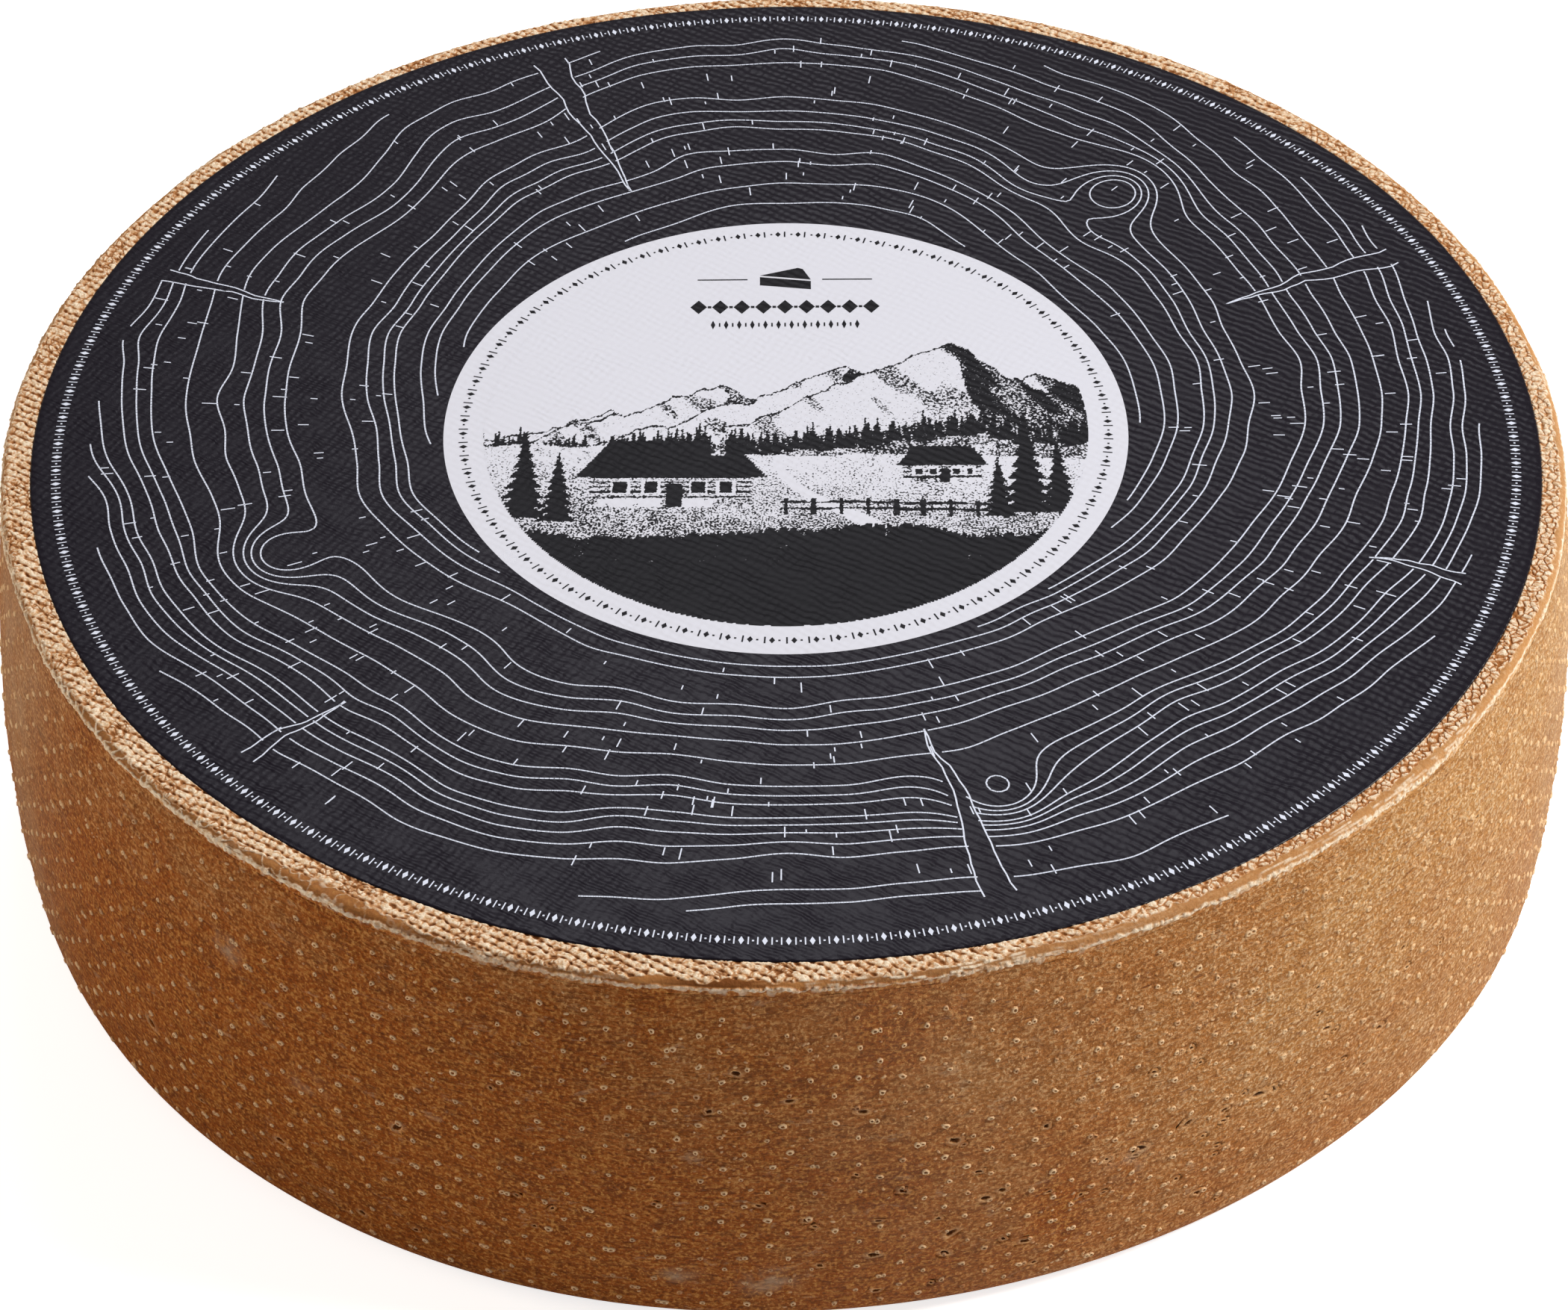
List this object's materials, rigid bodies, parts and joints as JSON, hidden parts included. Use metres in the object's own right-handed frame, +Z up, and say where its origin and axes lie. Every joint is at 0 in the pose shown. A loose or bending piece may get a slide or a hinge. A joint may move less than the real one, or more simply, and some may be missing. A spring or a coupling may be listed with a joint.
{
  "type": "cheese wheel",
  "caption": "Whole round of pressed cheese in a brown rind, with cloth marks round its top edge and a dark round paper label on its top face.",
  "frame": {"origin": "middle of the base that the wheel stands on, on the axis of its outline", "axes": "+Z up through the top face, -Y towards the front that the label's print faces, +X to the right seen from the front"},
  "size_m": [0.3092, 0.305, 0.0868],
  "materials": {
    "rind": "dry brushed cheese rind, low satin, with cloth marks and rows of small mould marks",
    "label_paper": "thin printed paper, near black with white print, satin"
  },
  "bodies": {
    "root": {"cheese": "rind", "label": "label_paper"}
  },
  "joints": []
}
